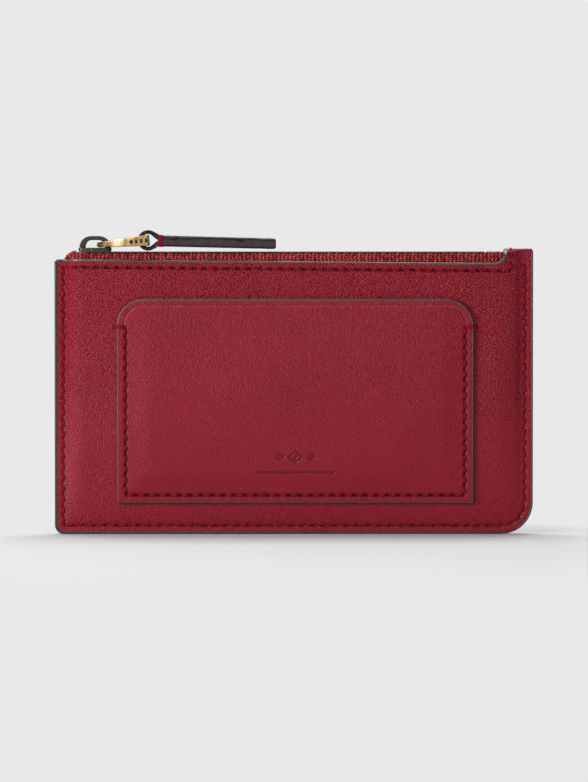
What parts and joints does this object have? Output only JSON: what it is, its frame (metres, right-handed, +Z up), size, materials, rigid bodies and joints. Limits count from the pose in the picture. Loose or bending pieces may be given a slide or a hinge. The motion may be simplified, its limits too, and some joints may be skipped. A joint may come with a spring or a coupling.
{
  "type": "zippered pouch",
  "caption": "Slim leather card pouch that closes along its top with a zip, with an open card pocket sewn on its front and a leather-tipped metal puller.",
  "frame": {"origin": "middle of the pouch's flat bottom edge, in the plane where the front and the back meet", "axes": "+X along the zip from the closed slider towards the folded bridge, +Z up, and the front with the card pocket faces -Y"},
  "size_m": [0.128, 0.0113, 0.0814],
  "materials": {
    "leather": "fine-grained nappa, low sheen",
    "lining": "matt woven",
    "edge_paint": "satin edge paint",
    "thread": "twisted sewing thread",
    "tape": "woven zip tape",
    "antique_brass": "darkened",
    "dark_metal": "dark plated, worn at the edges",
    "brass": "brushed",
    "strap_leather": "painted edge, glossy"
  },
  "bodies": {
    "pouch": {"outer_shell": "leather", "card_pocket": "leather", "lining_front": "lining", "lining_back": "lining", "seam_edge_paint": "edge_paint", "window_edge_paint": "edge_paint", "pocket_edge_paint": "edge_paint", "seam_stitching": "thread", "zip_stitching": "thread", "pocket_stitching": "thread", "pocket_bartacks": "thread", "zip_tape_front": "tape", "zip_tape_back": "tape", "teeth_front": "antique_brass", "teeth_back": "antique_brass", "top_stop_front": "antique_brass", "top_stop_back": "antique_brass", "bottom_stop": "antique_brass"},
    "slider": {"slider_body": "dark_metal", "slider_lug": "dark_metal"},
    "link": {"puller_link": "brass"},
    "strap": {"pull_strap": "strap_leather", "strap_binding": "thread"}
  },
  "joints": [
    {"name": "slider_slide", "type": "slide", "parent": "pouch", "child": "slider", "axis": [1, 0, 0], "range_m": [0, 0.0925], "deforming": ["teeth_front", "teeth_back"]},
    {"name": "puller_swing", "type": "hinge", "parent": "slider", "child": "link", "pos_m": [-0.05205, 0, 0.07745], "axis": [0, -1, 0], "range_deg": [0, 125]},
    {"name": "strap_swing", "type": "hinge", "parent": "link", "child": "strap", "pos_m": [-0.039, 0, 0.07864], "axis": [0, -1, 0], "range_deg": [0, 70]}
  ]
}
